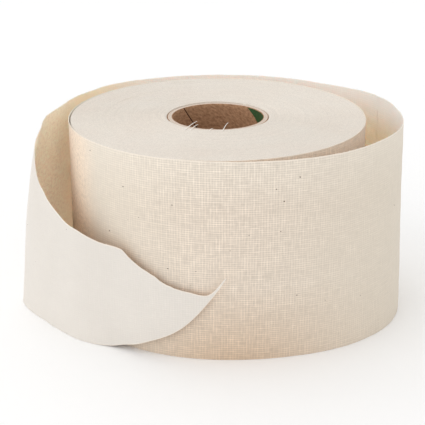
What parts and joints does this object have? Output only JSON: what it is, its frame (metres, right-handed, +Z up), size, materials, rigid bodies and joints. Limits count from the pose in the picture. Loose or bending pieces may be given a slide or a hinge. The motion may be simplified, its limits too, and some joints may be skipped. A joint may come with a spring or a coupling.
{
  "type": "hand wrap roll",
  "caption": "Roll of unbleached cotton strip for hand wraps on a spiral paper core, standing on end, its last turn loose and ending in a cut point across the front.",
  "frame": {"origin": "the core's axis at the face the roll stands on", "axes": "+Z up along the core's axis, -Y towards the front where the cut point lies, +X to the right"},
  "size_m": [0.1778, 0.1441, 0.0889],
  "materials": {
    "cotton": "unbleached plain-woven cotton muslin",
    "kraft_paper": "smooth brown kraft paper",
    "core_board": "grey-brown coreboard",
    "label_paper": "green printed paper",
    "tape": "double-sided paper tape"
  },
  "bodies": {
    "roll": {"core_inner_liner": "kraft_paper", "core_board_ply_1": "core_board", "core_board_ply_2": "core_board", "core_board_ply_3": "core_board", "core_outer_liner": "kraft_paper", "core_label": "label_paper", "start_tape": "tape", "wound_cloth": "cotton", "last_wound_turn": "cotton", "loose_turn_front": "cotton"},
    "loose_turn": {"loose_turn_left": "cotton"},
    "tail": {"tail": "cotton"},
    "tail_point": {"tail_point": "cotton"}
  },
  "joints": [
    {"name": "back_bend", "type": "hinge", "parent": "roll", "child": "loose_turn", "pos_m": [0, 0.0731, 0], "axis": [0, 0, -1], "range_deg": [0, 35]},
    {"name": "left_bend", "type": "hinge", "parent": "loose_turn", "child": "tail", "pos_m": [-0.07903, -0.02876, 0], "axis": [0, 0, -1], "range_deg": [0, 60]},
    {"name": "point_bend", "type": "hinge", "parent": "tail", "child": "tail_point", "pos_m": [-0.02839, -0.06377, 0], "axis": [0, 0, -1], "range_deg": [0, 60]}
  ]
}
